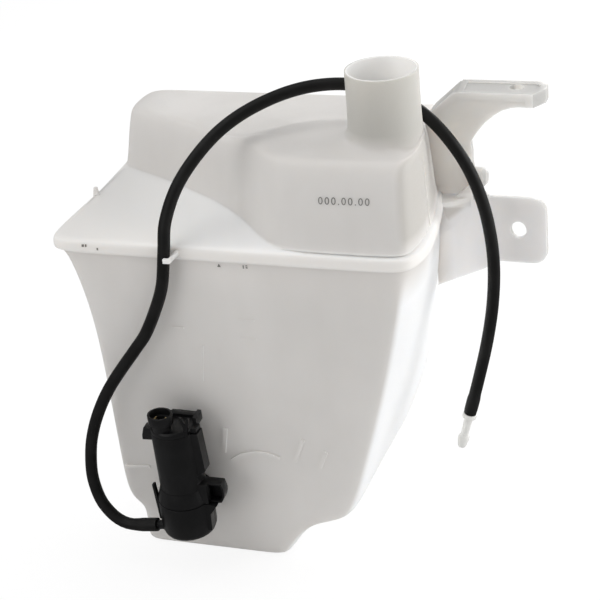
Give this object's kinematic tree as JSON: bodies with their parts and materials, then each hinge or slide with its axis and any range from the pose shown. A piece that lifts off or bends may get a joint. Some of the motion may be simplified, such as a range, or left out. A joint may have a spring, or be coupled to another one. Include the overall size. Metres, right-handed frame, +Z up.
{
  "type": "windscreen washer fluid reservoir",
  "caption": "Blow-moulded washer fluid tank with filler neck, mounting ears, electric washer pump low on its front wall and a free outlet hose with a push-in fitting.",
  "frame": {"origin": "middle of the flat foot under the tank, at the lowest point of the part", "axes": "+Z up through the filler neck's mouth; -Y is the front, the wall that carries the pump; +X is the side with the two mounting ears"},
  "size_m": [0.2807, 0.1822, 0.316],
  "materials": {
    "brass": "plain brass",
    "bronze_sintered": "sintered bronze",
    "carbon": "graphite",
    "copper_enamelled": "enamelled copper",
    "ferrite": "dark grey ceramic magnet",
    "hdpe_natural": "milky translucent blow-moulded polyethylene, satin",
    "plastic_black": "black moulded plastic, satin",
    "plastic_white": "natural white nylon",
    "rubber_black": "black rubber, satin",
    "steel_plated": "zinc plated steel"
  },
  "bodies": {
    "reservoir": {"brush_holder": "plastic_white", "brush_left": "carbon", "brush_right": "carbon", "bushing_bottom": "bronze_sintered", "bushing_top": "bronze_sintered", "grommet": "rubber_black", "hose": "rubber_black", "hose_fitting": "plastic_white", "inlet_strainer": "plastic_white", "magnet_left": "ferrite", "magnet_right": "ferrite", "motor_can": "steel_plated", "pump_base_cover": "plastic_black", "pump_bottom_plate": "plastic_black", "pump_end_cap": "plastic_black", "pump_housing": "plastic_black", "shaft_seal": "rubber_black", "tank": "hdpe_natural", "terminal_pin_left": "brass", "terminal_pin_right": "brass"},
    "rotor": {"rotor_shaft": "steel_plated", "armature_core": "steel_plated", "armature_winding": "copper_enamelled", "commutator": "copper_enamelled", "impeller": "plastic_white"}
  },
  "joints": [
    {"name": "rotor_spin", "type": "hinge", "parent": "reservoir", "child": "rotor", "pos_m": [-0.009, -0.0645, 0.0304], "axis": [0, -0.0703, 0.9975], "continuous": true}
  ]
}
